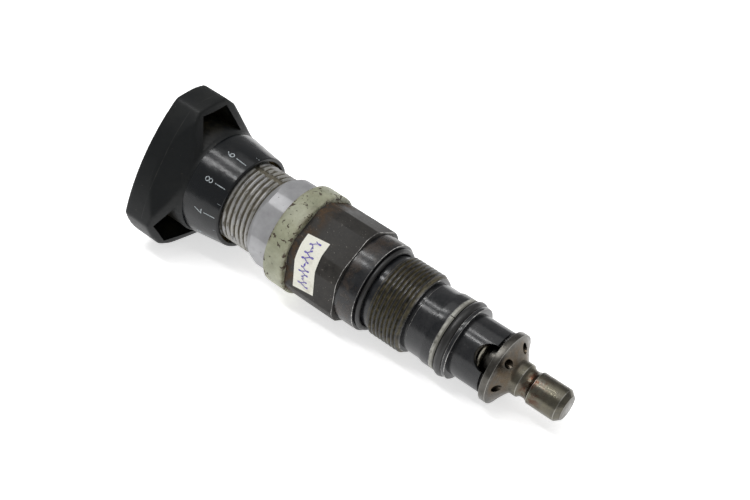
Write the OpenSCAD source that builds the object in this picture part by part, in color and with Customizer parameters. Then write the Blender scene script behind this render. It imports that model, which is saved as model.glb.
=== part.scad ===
// Screw-in cartridge valve with a hand knob, a direct-acting pressure relief type.
// The valve lies along X: nose towards +X, knob towards -X. The origin is on the axis,
// in the plane of the shoulder face that seats on the manifold. One knob lobe points almost up.

/* [Knob] */
// Turn of the first knob lobe about the axis
knob_lobe_turn = 85.5; // [0:0.5:120]
// Distance from the axis to the knob's three long sides
knob_side_r = 22.9; // [20:0.1:26]
// Radius that the long sides are bowed to
knob_bow_r = 68; // [50:1:200]
// Distance from the axis to the knob's three lobe ends
knob_lobe_r = 28.8; // [26:0.1:34]
// Flat back of the knob
knob_back_x = -87.6; // [-92:0.1:-86]
// Front edge of the lobe ends
lobe_front_x = -76.8; // [-80:0.1:-74]
// Place on the long sides where the slope down to the hub starts
slope_start_x = -80.7; // [-84:0.1:-78]
// Angle of the slope between a long side and the hub
slope_angle = 25.2; // [10:0.1:40]
// Front face of the knob, against the dial sleeve
knob_front_x = -70.3; // [-72:0.1:-68]
// Wall between a finger pocket and the outside
knob_wall = 2.2; // [1.5:0.1:4]
// Floor of the finger pockets
pocket_floor_x = -84; // [-85:0.1:-80]
// Half of a finger pocket's width, measured at the radius it starts at
pocket_inner_half_w = 8.5; // [6:0.1:11]
// Half of a finger pocket's width, measured at its outer end
pocket_outer_half_w = 5.4; // [4:0.1:9]
// Radius that the finger pockets start at
pocket_inner_r = 18.6; // [18.4:0.1:21]
// Rim of the dial sleeve
dial_front_x = -56.1; // [-58:0.1:-54]
// Outer radius of the dial sleeve at its rim
dial_front_r = 16.7; // [16.6:0.05:17.2]
// Outer radius of the dial sleeve at the knob
dial_back_r = 18.45; // [17.8:0.05:18.6]

/* [Guide bush] */
// Back end of the bush
bush_back_x = -69; // [-70:0.1:-66]
// Crest radius of the knob thread
knob_thread_r = 14.4; // [14:0.05:15]
// Pitch of the knob thread
knob_pitch = 2; // [1:0.25:3]
// Depth of the knob thread
knob_thread_depth = 1.05; // [0.6:0.05:1.3]
// Front end of the knob thread
knob_thread_end_x = -45.1; // [-47:0.1:-44]
// Width across the bush's flats
bush_af = 30; // [28:0.5:32]
// Turn of the bush's flats about the axis
bush_flats_turn = 21.3; // [0:0.1:60]
// Turn of the axial slot about the axis
slot_turn = 81.4; // [0:0.1:360]
// Width of the axial slot
slot_w = 2.2; // [1:0.1:3]

/* [Lock ring] */
// Outer radius of the ring
ring_r = 18; // [17:0.1:19]
// Back face of the ring
ring_back_x = -35; // [-36:0.1:-34]
// Back face of the steel body, against the ring
body_back_x = -27; // [-28:0.1:-26]

/* [Steel body] */
// Width across the body's flats
body_af = 32; // [30:0.5:34]
// Radius that the hexagon's corners are turned to
body_corner_r = 17.05; // [16.5:0.05:18.4]
// Turn of the body's flats about the axis
body_flats_turn = 56; // [0:0.5:60]
// Front of the hexagon
hex_front_x = -7.2; // [-9:0.1:-5]
// Radius of the shoulder
shoulder_r = 15.5; // [15:0.05:16.5]
// Radius of the neck under the shoulder
neck_r = 12.85; // [12.5:0.05:13.2]
// Crest radius of the mounting thread
thread_r = 13.93; // [13.8:0.01:14]
// Pitch of the mounting thread
thread_pitch = 1.5; // [1:0.25:2]
// First crest of the mounting thread
thread_first_x = 4.93; // [4:0.01:6]
// Number of crests
thread_crests = 8; // [4:1:12]
// Radius of the plain stretch behind the land
plain_r = 11.95; // [11.5:0.05:12.3]
// Radius of the sealing land
land_r = 12.47; // [12.3:0.01:12.5]
// Front of the sealing land
land_front_x = 33.6; // [33:0.1:35]
// Radius of the nose sleeve
nose_r = 10.53; // [10:0.01:11]
// Open end of the nose sleeve
nose_end_x = 44.5; // [43:0.1:45]
// Radius of the spring chamber
chamber_r = 8.2; // [7.5:0.05:8.5]
// Radius of the two outlet openings
outlet_r = 4.65; // [3:0.05:5]
// Turn of the outlet openings about the axis
outlet_turn = 132.5; // [0:0.5:360]

/* [Seals] */
// Wire radius of the shoulder ring
shoulder_ring_wire = 0.9; // [0.7:0.05:1.2]
// Wire radius of the land ring
land_ring_wire = 1.5; // [1:0.05:1.8]
// Back side of the seal groove
groove_back_x = 27.75; // [27:0.05:28.5]
// Front side of the seal groove
groove_front_x = 32.3; // [31.5:0.05:33]
// Bottom radius of the seal groove
groove_r = 10.1; // [9.8:0.05:11]

/* [Poppet] */
// Radius of the disc
disc_r = 12; // [11.5:0.05:12.4]
// Back face of the disc
disc_back_x = 45.9; // [45.5:0.05:48]
// Thickness of the disc's rim
disc_rim = 2.25; // [1.5:0.05:3]
// Radius of the collar that carries the spring
collar_r = 6.9; // [6.5:0.05:7]
// Back face of the collar
collar_back_x = 42.9; // [42:0.05:44]
// Radius of the small holes through the disc
disc_hole_r = 1.45; // [1:0.05:2]
// Radius of the circle of small holes
disc_hole_circle_r = 8.6; // [8.4:0.05:9]
// Turn of the first small hole about the axis
disc_hole_turn = 120; // [0:1:360]
// Radius of the stem
stem_r = 5.55; // [5:0.05:6]
// Radius of the damping spool
spool_r = 5.45; // [5:0.05:6]
// Tip of the damping spool
tip_x = 69.6; // [66:0.1:72]

/* [Spring] */
// Wire radius
wire_r = 1; // [0.8:0.05:1.1]
// Mean radius of the coils
coil_r = 6.1; // [6:0.05:6.4]
// Active turns
spring_turns = 11; // [8:1:13]

/* [Label] */
// Thickness of the paper
paper_t = 0.12; // [0.1:0.01:0.3]
// Width of the paper along the axis
paper_w = 8.2; // [5:0.1:12]
// Middle of the paper
paper_x = -19.9; // [-22:0.1:-15]

/* [Hidden] */
$fn = 96;
thread_depth = 0.86;
shank_r = 11.9;
bush_front_x = -16;
spindle_r = 4.95;
spindle_bore_r = 5;
spindle_front_x = -14;
plate_back_x = -13.95;
plate_front_x = -10.5;
plate_nose_x = -7;
insert_r = 16;
insert_front_x = -62;
insert_back_x = -82.3;
insert_floor = 2.5;
hub_r = 19.2;
hub_back_x = -79;
hub_front_x = -72.4;
lobe_slope_end_x = -71.8;
screw_r = 2.95;
recess_r = 6.5;
bush_corner_r = 16.05;
thread_last_x = thread_first_x + (thread_crests - 1) * thread_pitch;
disc_front_x = disc_back_x + disc_rim;
land_ring_x = groove_front_x - land_ring_wire - 0.03;
land_ring_r = groove_r + land_ring_wire + 0.02;

// Turns a shape drawn about Z so that its +Z becomes +X.
module along_x() {
    rotate([0, 90, 0]) children();
}

// Turns children about the X axis, so that what was built facing +Y faces the angle given.
module facing(angle) {
    rotate([angle, 0, 0]) children();
}

// A solid of revolution about X. Points are [x, radius].
module turned(points) {
    along_x() rotate_extrude() polygon([for (p = points) [p[1], p[0]]]);
}

module disc_between(x0, x1, r) {
    translate([x0, 0, 0]) along_x() cylinder(h = x1 - x0, r = r);
}

// A hexagonal bar with its corners turned round.
module hex_bar(x0, x1, af, corner_r, turn) {
    intersection() {
        translate([x0, 0, 0]) along_x() rotate([0, 0, turn + 60]) cylinder(h = x1 - x0, r = af / sqrt(3), $fn = 6);
        disc_between(x0, x1, corner_r);
    }
}

// An O-ring about X, with its middle at x.
module o_ring(x, r, wire) {
    translate([x, 0, 0]) along_x() rotate_extrude() translate([r, 0]) circle(r = wire, $fn = 48);
}

// The valley in front of a thread crest, as points [x, radius].
function valley(crest_x, pitch, crest_r, depth) = [
    [crest_x + pitch * 0.12, crest_r],
    [crest_x + pitch * 0.42, crest_r - depth],
    [crest_x + pitch * 0.58, crest_r - depth],
    [crest_x + pitch * 0.88, crest_r]
];

function thread_points(first_x, crests, pitch, crest_r, depth) = [
    for (i = [0:crests - 2]) each valley(first_x + i * pitch, pitch, crest_r, depth)
];

module valve_body() {
    color([0.23, 0.21, 0.2])
    difference() {
        union() {
            hex_bar(body_back_x, hex_front_x, body_af, body_corner_r, body_flats_turn);
            turned(concat(
                [[hex_front_x - 1, 0], [hex_front_x - 1, shoulder_r], [-0.25, shoulder_r], [0, shoulder_r - 0.25]],
                [[0, neck_r], [2.4, neck_r], [3.9, thread_r - thread_depth]],
                [[thread_first_x - 0.62, thread_r - thread_depth], [thread_first_x - 0.18, thread_r]],
                thread_points(thread_first_x, thread_crests, thread_pitch, thread_r, thread_depth),
                [[thread_last_x + 0.18, thread_r], [thread_last_x + 1.1, thread_r - thread_depth]],
                [[16.9, thread_r - thread_depth], [16.9, 11.7], [18, 11.7], [18.2, plain_r], [22.9, plain_r]],
                [[24.3, land_r - 0.04], [24.6, land_r], [groove_back_x, land_r], [groove_back_x, groove_r]],
                [[groove_front_x, groove_r], [groove_front_x, land_r], [land_front_x - 0.3, land_r]],
                [[land_front_x, land_r - 0.3], [land_front_x, nose_r], [nose_end_x, nose_r], [nose_end_x, 0]]
            ));
        }
        disc_between(body_back_x - 1, -12.5, 12);
        disc_between(-13, nose_end_x + 1, chamber_r);
        translate([nose_end_x, 0, 0]) facing(outlet_turn) rotate([90, 0, 0]) cylinder(h = 40, r = outlet_r, center = true);
    }
}

module guide_bush() {
    crests = floor((knob_thread_end_x - bush_back_x) / knob_pitch) - 1;
    first_x = knob_thread_end_x - 1.3 - (crests - 1) * knob_pitch;
    color([0.74, 0.74, 0.72])
    difference() {
        union() {
            turned(concat(
                [[bush_back_x, 0], [bush_back_x, knob_thread_r - 0.8], [bush_back_x + 0.8, knob_thread_r]],
                [[first_x - knob_pitch * 0.12, knob_thread_r]],
                thread_points(first_x, crests, knob_pitch, knob_thread_r, knob_thread_depth),
                [[knob_thread_end_x - 0.9, knob_thread_r], [knob_thread_end_x, knob_thread_r]],
                [[-42.6, bush_corner_r], [-42, bush_corner_r], [-42, 0]]
            ));
            hex_bar(-42.6, ring_back_x, bush_af, bush_corner_r, bush_flats_turn);
            turned([
                [ring_back_x - 1, 0], [ring_back_x - 1, shank_r], [-19.2, shank_r], [-19.2, 10.4], [-17.4, 10.4],
                [-17.4, shank_r], [bush_front_x - 0.4, shank_r], [bush_front_x, shank_r - 0.4], [bush_front_x, 0]
            ]);
        }
        difference() {
            disc_between(-44.6, -41, 20);
            turned([[-45, 0], [-45, knob_thread_r - 0.4], [-42.6, bush_corner_r], [-41, bush_corner_r + 1], [-41, 0]]);
        }
        disc_between(bush_back_x - 1, bush_front_x + 1, spindle_bore_r);
        disc_between(-26, -22.4, 6.6);
        facing(slot_turn) translate([-70, 13.2, -slot_w / 2]) cube([25, 4, slot_w]);
    }
}

module lock_ring() {
    color([0.66, 0.68, 0.59])
    turned([
        [ring_back_x, 12], [ring_back_x, ring_r - 0.3], [ring_back_x + 0.3, ring_r], [body_back_x - 0.3, ring_r],
        [body_back_x, ring_r - 0.3], [body_back_x, 12]
    ]);
}

module bush_seal() {
    color([0.05, 0.05, 0.05]) o_ring(-18.3, 11.2, 0.78);
}

module shoulder_o_ring() {
    color([0.05, 0.05, 0.05]) o_ring(shoulder_ring_wire + 0.02, neck_r + shoulder_ring_wire + 0.02, shoulder_ring_wire);
}

module land_back_up_ring() {
    ring_back = groove_back_x + 0.05;
    ring_front = land_ring_x - land_ring_wire - 0.02;
    color([0.86, 0.85, 0.78])
    difference() {
        disc_between(ring_back, ring_front, land_r - 0.02);
        disc_between(ring_back - 1, ring_front + 1, groove_r + 0.05);
        facing(110) translate([groove_back_x - 1, 5, -0.15]) cube([6, 10, 0.3]);
    }
}

module land_o_ring() {
    color([0.05, 0.05, 0.05]) o_ring(land_ring_x, land_ring_r, land_ring_wire);
}

module spindle_o_ring() {
    color([0.05, 0.05, 0.05]) o_ring(-23.3, 5.8, 0.77);
}

module spindle_back_up_ring() {
    color([0.86, 0.85, 0.78])
    difference() {
        disc_between(-25.9, -24.5, 6.58);
        disc_between(-27, -23, 5.03);
    }
}

module paper_label() {
    color([0.9, 0.87, 0.78])
    intersection() {
        difference() {
            hex_bar(paper_x - paper_w / 2, paper_x + paper_w / 2, body_af + 2 * paper_t, body_corner_r + paper_t, body_flats_turn);
            hex_bar(paper_x - paper_w, paper_x + paper_w, body_af, body_corner_r, body_flats_turn);
        }
        facing(123) translate([paper_x - paper_w, 0, 0]) cube([2 * paper_w, 30, 30]);
        facing(190) translate([paper_x - paper_w, 0, -30]) cube([2 * paper_w, 30, 30]);
    }
}

module spring_plate() {
    color([0.5, 0.5, 0.5])
    turned([
        [plate_back_x, 0], [plate_back_x, chamber_r - 0.45], [plate_back_x + 0.4, chamber_r - 0.05],
        [plate_front_x, chamber_r - 0.05], [plate_front_x, 4.9], [plate_nose_x - 0.6, 4.9],
        [plate_nose_x, 4.3], [plate_nose_x, 0]
    ]);
}

module main_spring() {
    steps = 20;
    sides = 10;
    turns = spring_turns + 2;
    closed = 2 * wire_r + 0.06;
    length = collar_back_x - plate_front_x - 2 * wire_r - 0.04;
    active = (length - 2 * closed) / spring_turns;
    total = turns * steps;
    // Distance along the axis after a number of turns: one closed turn at each end.
    function along(t) = min(t, 1) * closed + max(0, min(t - 1, spring_turns)) * active + max(0, t - 1 - spring_turns) * closed;
    function spot(i, j) =
        let (t = i / steps, a = 360 * t + 47.5 - 360 * turns, b = 360 * j / sides, r = coil_r + wire_r * cos(b))
        [plate_front_x + 0.02 + wire_r + along(t) + wire_r * sin(b), r * cos(a), r * sin(a)];
    color([0.6, 0.6, 0.58])
    polyhedron(
        points = [for (i = [0:total]) for (j = [0:sides - 1]) spot(i, j)],
        faces = concat(
            [[for (j = [0:sides - 1]) j]],
            [for (i = [0:total - 1]) for (j = [0:sides - 1])
                [i * sides + j, (i + 1) * sides + j, (i + 1) * sides + (j + 1) % sides, i * sides + (j + 1) % sides]],
            [[for (j = [sides - 1:-1:0]) total * sides + j]]
        )
    );
}

module poppet() {
    color([0.52, 0.51, 0.48])
    difference() {
        turned([
            [36.5, 0], [36.5, 4.2], [37, 4.8], [collar_back_x, 4.8], [collar_back_x, collar_r],
            [disc_back_x, collar_r], [disc_back_x, disc_r - 0.15], [disc_back_x + 0.15, disc_r],
            [disc_front_x - 0.2, disc_r], [disc_front_x, disc_r - 0.2], [disc_front_x + 0.1, 11.2],
            [52.2, stem_r + 0.1], [52.4, stem_r], [54.5, stem_r], [54.8, 5.3], [55.3, 4.85], [56, 4.62],
            [56.9, 4.62], [57.6, 4.85], [58.1, 5.2], [58.4, spool_r], [67.9, spool_r],
            [tip_x, 4], [tip_x, 0]
        ]);
        for (i = [0:5]) facing(disc_hole_turn + 60 * i) translate([0, disc_hole_circle_r, 0]) disc_between(44, 54, disc_hole_r);
    }
}

// A bar with the knob's outline: three bowed sides and three lobe ends.
module knob_bar(x0, x1) {
    intersection() {
        disc_between(x0, x1, knob_lobe_r);
        bowed_side(x0, x1, knob_lobe_turn + 60);
        bowed_side(x0, x1, knob_lobe_turn + 180);
        bowed_side(x0, x1, knob_lobe_turn + 300);
    }
}

module bowed_side(x0, x1, turn) {
    facing(turn) translate([0, knob_side_r - knob_bow_r, 0]) disc_between(x0, x1, knob_bow_r);
}

module knob_head() {
    color([0.08, 0.085, 0.09])
    difference() {
        union() {
            difference() {
                intersection() {
                    knob_bar(knob_back_x, knob_front_x);
                    turned([
                        [knob_back_x, 0], [knob_back_x, 40], [lobe_front_x, 40], [lobe_front_x, knob_lobe_r],
                        [lobe_slope_end_x, hub_r], [lobe_slope_end_x, 0]
                    ]);
                }
                for (i = [0:2]) facing(knob_lobe_turn + 60 + 120 * i)
                    translate([slope_start_x, knob_side_r, -40]) rotate([0, 0, -slope_angle]) cube([30, 20, 80]);
            }
            turned([
                [hub_back_x, 0], [hub_back_x, hub_r], [hub_front_x, hub_r], [knob_front_x, dial_back_r],
                [knob_front_x, 0]
            ]);
        }
        disc_between(insert_back_x, knob_front_x + 1, insert_r + 0.05);
        disc_between(knob_back_x - 1, insert_back_x + 1, recess_r);
        for (i = [0:2]) facing(knob_lobe_turn + 120 * i) finger_pocket();
    }
}

// The pocket in a lobe, as it lies in a lobe that faces +Y. It narrows outwards in a straight wedge.
module finger_pocket() {
    depth = knob_front_x + 1 - pocket_floor_x;
    outer_r = knob_lobe_r - knob_wall;
    narrowing = (pocket_inner_half_w - pocket_outer_half_w) / (outer_r - pocket_inner_r);
    start_half_w = pocket_inner_half_w + pocket_inner_r * narrowing;
    intersection() {
        translate([pocket_floor_x, 0, 0]) rotate([90, 0, 90]) linear_extrude(height = depth) polygon([
            [0, start_half_w], [outer_r, pocket_outer_half_w], [outer_r, -pocket_outer_half_w], [0, -start_half_w]
        ]);
        difference() {
            disc_between(pocket_floor_x, knob_front_x + 1, outer_r);
            disc_between(pocket_floor_x - 1, knob_front_x + 2, pocket_inner_r);
        }
    }
}

module dial_sleeve() {
    color([0.06, 0.065, 0.07])
    turned([
        [knob_front_x + 0.05, insert_r + 0.05], [knob_front_x + 0.05, dial_back_r], [-68.6, dial_back_r],
        [dial_front_x - 0.3, dial_front_r + 0.04], [dial_front_x, dial_front_r - 0.3], [dial_front_x, 15.5],
        [dial_front_x - 0.3, 15.3], [insert_front_x + 0.05, 15.3], [insert_front_x + 0.05, insert_r + 0.05]
    ]);
}

module thread_insert() {
    bore_r = knob_thread_r + 0.06;
    floor_x = insert_back_x + insert_floor;
    color([0.72, 0.6, 0.34])
    turned([
        [insert_back_x, screw_r + 0.15], [insert_back_x, insert_r], [insert_front_x, insert_r],
        [insert_front_x, bore_r], [floor_x, bore_r], [floor_x, screw_r + 0.15]
    ]);
}

module spindle() {
    rear_x = insert_back_x + insert_floor;
    color([0.55, 0.55, 0.53])
    turned([
        [rear_x, screw_r + 0.05], [rear_x, spindle_r], [spindle_front_x - 0.6, spindle_r],
        [spindle_front_x, spindle_r - 0.6], [spindle_front_x, 0], [-68, 0], [-69.6, screw_r + 0.05]
    ]);
}

module knob_screw() {
    head_back = insert_back_x - 4;
    color([0.3, 0.3, 0.3])
    difference() {
        union() {
            disc_between(head_back, insert_back_x - 1, 5);
            disc_between(insert_back_x - 2, -70, screw_r);
        }
        translate([head_back - 1, 0, 0]) along_x() cylinder(h = 2.8, r = 2.9, $fn = 6);
    }
}

module knob_washer() {
    color([0.6, 0.6, 0.6])
    difference() {
        disc_between(insert_back_x - 1, insert_back_x, 6);
        disc_between(insert_back_x - 2, insert_back_x + 1, screw_r + 0.25);
    }
}

module knob_cap() {
    color([0.08, 0.085, 0.09]) disc_between(knob_back_x, knob_back_x + 1, recess_r - 0.05);
}

valve_body();
guide_bush();
lock_ring();
bush_seal();
shoulder_o_ring();
land_back_up_ring();
land_o_ring();
spindle_o_ring();
spindle_back_up_ring();
paper_label();
spring_plate();
main_spring();
poppet();
knob_head();
dial_sleeve();
thread_insert();
spindle();
knob_screw();
knob_washer();
knob_cap();
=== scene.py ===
# %% [markdown]
# # A screw-in cartridge valve with a hand knob
# The valve lies along X. Its nose points towards +X and its knob towards -X, and the origin is on the
# axis in the plane of the shoulder face. The CAD model gives every size here. This script builds the
# looks on top of it: real screw threads, softened edges, dial marks, a paper label, and a finish for
# each material. Everything is in metres, but the shapes below are easier to read in millimetres, so MM
# turns one into the other.

import bmesh
import bpy
import math
from mathutils import Matrix, Vector, noise


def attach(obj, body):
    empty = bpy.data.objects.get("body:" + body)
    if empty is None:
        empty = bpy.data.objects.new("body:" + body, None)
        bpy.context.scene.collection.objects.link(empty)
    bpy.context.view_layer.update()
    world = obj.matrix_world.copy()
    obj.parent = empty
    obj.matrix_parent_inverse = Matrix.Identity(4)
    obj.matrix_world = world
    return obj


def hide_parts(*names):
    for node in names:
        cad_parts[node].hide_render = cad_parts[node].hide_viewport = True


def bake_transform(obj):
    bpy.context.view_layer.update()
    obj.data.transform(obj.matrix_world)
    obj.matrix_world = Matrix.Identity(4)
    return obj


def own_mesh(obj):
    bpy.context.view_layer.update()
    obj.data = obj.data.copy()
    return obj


MM = 0.001
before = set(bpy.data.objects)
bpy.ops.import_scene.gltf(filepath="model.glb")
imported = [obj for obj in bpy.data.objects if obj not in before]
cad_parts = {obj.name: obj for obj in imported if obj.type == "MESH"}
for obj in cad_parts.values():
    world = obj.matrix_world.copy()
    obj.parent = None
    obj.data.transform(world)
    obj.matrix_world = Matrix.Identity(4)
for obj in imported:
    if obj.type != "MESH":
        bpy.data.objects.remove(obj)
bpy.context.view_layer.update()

# %% [markdown]
# Most of this valve was turned on a lathe, so most of its pieces can be made the same way: a profile is
# drawn as (x, radius) points and spun round the axis. A full spin leaves the last ring on top of the
# first, so use_merge joins them, and points on the axis are merged into one pole.

# %% Turn a profile
def turn_profile(profile, steps=120, ring=True, phase=0.0):
    bm = bmesh.new()
    start = Matrix.Rotation(math.radians(phase), 3, "X")
    row = [bm.verts.new(start @ Vector((x * MM, r * MM, 0))) for x, r in profile]
    for a, b in zip(row, row[1:] + (row[:1] if ring else [])):
        bm.edges.new((a, b))
    bmesh.ops.spin(
        bm, geom=bm.verts[:] + bm.edges[:], cent=(0, 0, 0), axis=(1, 0, 0),
        angle=2 * math.pi, steps=steps, use_merge=True,
    )
    bmesh.ops.remove_doubles(bm, verts=bm.verts[:], dist=1e-7)
    bmesh.ops.recalc_face_normals(bm, faces=bm.faces[:])
    return bm


# %% [markdown]
# No machined edge is perfectly sharp. It has a small bevel, and that bevel is where dark finishes wear
# through and catch the light. So each convex edge is bevelled, and the new faces are marked in a corner
# attribute named wear, which the materials read later.

# %% Break the edges
def break_edges(bm, width, segments=2, sharper_than=35.0, inside=None):
    wear = bm.loops.layers.float.get("wear") or bm.loops.layers.float.new("wear")
    sharp = [
        e for e in bm.edges
        if len(e.link_faces) == 2 and e.is_convex and e.calc_face_angle(0) > math.radians(sharper_than)
        and (inside is None or inside((e.verts[0].co + e.verts[1].co) / 2))
    ]
    made = bmesh.ops.bevel(
        bm, geom=sharp, offset=width * MM, offset_type="OFFSET", segments=segments,
        profile=0.5, affect="EDGES", material=-1, clamp_overlap=True,
    )
    for face in made["faces"]:
        for loop in face.loops:
            loop[wear] = 1.0


# %% [markdown]
# A finished piece becomes an object at the origin, with its place in its mesh. It is shaded smooth
# except across real edges, it rides on a body of the CAD model, and it may stand for a plainer CAD node.

# %% Make a piece
def make_piece(name, bm, body, stands_for=(), crease=32.0):
    mesh = bpy.data.meshes.new(name)
    bm.to_mesh(mesh)
    bm.free()
    mesh.shade_smooth()
    mesh.set_sharp_from_angle(angle=math.radians(crease))
    piece = bpy.data.objects.new(name, mesh)
    bpy.context.scene.collection.objects.link(piece)
    if body:
        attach(piece, body)
    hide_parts(*stands_for)
    print(name, len(mesh.polygons), "faces")
    return piece


# %% [markdown]
# A flat on a turned bar is a plane that cuts it. Bisecting with clear_outer takes away what is beyond
# the plane, and filling the open edge gives the flat. Six of them make a spanner hexagon whose corners
# stay round, as on bar stock that was turned first.

# %% Cut six flats
def cut_flats(bm, across_flats, turn):
    for n in range(6):
        beta = math.radians(turn + 60 * n)
        out = Vector((0, math.cos(beta), math.sin(beta)))
        cut = bmesh.ops.bisect_plane(
            bm, geom=bm.verts[:] + bm.edges[:] + bm.faces[:], dist=1e-7,
            plane_co=out * across_flats / 2 * MM, plane_no=out, clear_outer=True,
        )["geom_cut"]
        rim = [e for e in cut if isinstance(e, bmesh.types.BMEdge)]
        bmesh.ops.edgeloop_fill(bm, edges=rim)
    bmesh.ops.recalc_face_normals(bm, faces=bm.faces[:])


# %% [markdown]
# A boolean cuts the openings. It runs once, here, as a modifier whose result is read back into a bmesh,
# so that no live modifier is left on the piece.

# %% Cut with a tool shape
def carve(bm, tool, operation="DIFFERENCE"):
    shapes = []
    for source in (bm, tool):
        mesh = bpy.data.meshes.new("carving")
        source.to_mesh(mesh)
        source.free()
        shape = bpy.data.objects.new("carving", mesh)
        bpy.context.scene.collection.objects.link(shape)
        shapes.append(shape)
    cut = shapes[0].modifiers.new("cut", "BOOLEAN")
    cut.operation = operation
    cut.solver = "EXACT"
    cut.object = shapes[1]
    result = read_back(shapes[0])
    bpy.data.objects.remove(shapes[1])
    return result


def read_back(shape):
    graph = bpy.context.evaluated_depsgraph_get()
    bm = bmesh.new()
    bm.from_mesh(shape.evaluated_get(graph).to_mesh())
    bpy.data.objects.remove(shape)
    return bm


# %% [markdown]
# A screw thread is one pitch of its profile, spun with a step along the axis. Each turn ends where the
# turn before it started, so merging doubles makes one continuous surface. The planes at both ends cut it
# off, and the lead function holds the crest down where the real thread runs in or out.

# %% Wind a thread
def wind_thread(x_start, x_end, crest_r, root_r, pitch, crest_x, crest_angle, lead, steps=120):
    bm = bmesh.new()
    before = math.ceil((crest_x - x_start) / pitch) + 1
    turns = before + math.ceil((x_end - crest_x) / pitch) + 1
    shape = [(-0.5, root_r), (-0.41, root_r), (-0.15, crest_r - 0.1), (-0.09, crest_r - 0.02), (0, crest_r)]
    shape += [(-u, r) for u, r in reversed(shape[:-1])]
    start = Matrix.Rotation(math.radians(crest_angle), 3, "X")
    first = crest_x - before * pitch
    row = [bm.verts.new(start @ Vector(((first + u * pitch) * MM, r * MM, 0))) for u, r in shape]
    for a, b in zip(row, row[1:]):
        bm.edges.new((a, b))
    bmesh.ops.spin(
        bm, geom=bm.verts[:] + bm.edges[:], cent=(0, 0, 0), axis=(1, 0, 0), angle=2 * math.pi * turns,
        steps=steps * turns, dvec=(pitch * MM / steps, 0, 0),
    )
    bmesh.ops.remove_doubles(bm, verts=bm.verts[:], dist=2e-6)
    for x, side in ((x_start, -1), (x_end, 1)):
        bmesh.ops.bisect_plane(
            bm, geom=bm.verts[:] + bm.edges[:] + bm.faces[:], dist=1e-7,
            plane_co=(x * MM, 0, 0), plane_no=(side, 0, 0), clear_outer=True,
        )
    for v in bm.verts:
        r = math.hypot(v.co.y, v.co.z)
        most = lead(v.co.x / MM) * MM
        if r > most:
            v.co.y *= most / r
            v.co.z *= most / r
    bmesh.ops.recalc_face_normals(bm, faces=bm.faces[:])
    middle = max(bm.faces, key=lambda f: f.calc_area())
    across = Vector((0, middle.calc_center_median().y, middle.calc_center_median().z))
    if middle.normal.dot(across) < 0:
        bmesh.ops.reverse_faces(bm, faces=bm.faces[:])
    return bm


def join(bm, other):
    mesh = bpy.data.meshes.new("joining")
    other.to_mesh(mesh)
    other.free()
    bm.from_mesh(mesh)
    bpy.data.meshes.remove(mesh)
    return bm


# %% [markdown]
# ## The steel body
# The body has a 32 mm hexagon, the shoulder, the M28 x 1.5 mounting thread, the land with its seal
# groove, and the thin nose sleeve. It is turned in one piece, with its bore, then the hexagon is cut. The
# number of steps and the phase keep each flat's side between two mesh rows, so no sliver is left there.

# %% Turn the body
HEX_TURN, HEX_FLATS, HEX_CORNER = 56, 32, 17.05
THREAD_START, THREAD_END = 3.9, 16.9
THREAD_CREST, THREAD_ROOT, THREAD_PITCH = 13.93, 13.07, 1.5
SLEEVE_END = 44.5
body_profile = [
    (-27, 12), (-27, HEX_CORNER), (-7.2, HEX_CORNER), (-7.2, 15.5), (0, 15.5), (0, 12.85), (2.4, 12.85),
    (THREAD_START, 13.02), (THREAD_END, 13.02), (THREAD_END, 11.7), (18, 11.7), (18.2, 11.95), (22.9, 11.95),
    (24.4, 12.44), (24.7, 12.47), (27.75, 12.47), (27.75, 10.1), (32.3, 10.1), (32.3, 12.47), (33.6, 12.47),
    (33.6, 10.53), (SLEEVE_END, 10.53), (SLEEVE_END, 8.2), (-12.5, 8.2), (-12.5, 12),
]
steel = turn_profile(body_profile, steps=144, phase=HEX_TURN + 1.25)
cut_flats(steel, HEX_FLATS, HEX_TURN)
break_edges(steel, 0.13)

# %% [markdown]
# Oil leaves through two round openings at the end of the nose sleeve. Each is half open, because its
# centre is in the plane of the sleeve's end.

# %% Drill the outlet openings
OUTLET_R = 4.65
OUTLET_TURN = 132.5 - 90
drill = bmesh.new()
bmesh.ops.create_cone(
    drill, cap_ends=True, segments=64, radius1=OUTLET_R * MM, radius2=OUTLET_R * MM, depth=40 * MM,
    matrix=Matrix.Translation((SLEEVE_END * MM, 0, 0)) @ Matrix.Rotation(math.radians(OUTLET_TURN), 4, "X"),
)
steel = carve(steel, drill)


# %% Wind the mounting thread
def mounting_lead(x):
    return min(THREAD_CREST, 13.05 + max(0.0, x - THREAD_START), 13.05 + max(0.0, 16.6 - x))


mounting_thread = wind_thread(
    THREAD_START, THREAD_END, THREAD_CREST, THREAD_ROOT, THREAD_PITCH,
    crest_x=4.93, crest_angle=130, lead=mounting_lead,
)
steel = join(steel, mounting_thread)
valve_body = make_piece("valve_body_turned", steel, "valve", ["valve_body"])

# %% [markdown]
# ## The guide bush
# The knob runs on the bush's 2 mm thread. A slot lies along the thread, and years of dirt have filled it
# with small lumps. Seven planes cut lines along the slot, and the vertices between its sides are moved to
# the height of the dirt.

# %% Turn the bush
BUSH_TURN, BUSH_FLATS = 21.3, 30
BUSH_BACK = -69
KNOB_CREST, KNOB_ROOT, KNOB_PITCH = 14.4, 13.35, 2.0
bush_profile = [
    (BUSH_BACK, 5), (BUSH_BACK, 13.2), (-45.1, 13.2), (-45.1, 14.35), (-42.6, 16.05), (-35, 16.05),
    (-35, 11.9), (-19.2, 11.9), (-19.2, 10.4), (-17.4, 10.4), (-17.4, 11.9), (-16, 11.9), (-16, 5),
]
bush = turn_profile(bush_profile, phase=BUSH_TURN + 1.5)
cut_flats(bush, BUSH_FLATS, BUSH_TURN)
break_edges(bush, 0.18, inside=lambda p: p.x < -34 * MM)


# %% Wind the knob thread
def knob_lead(x):
    return min(KNOB_CREST, 13.4 + max(0.0, x - BUSH_BACK))


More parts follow.
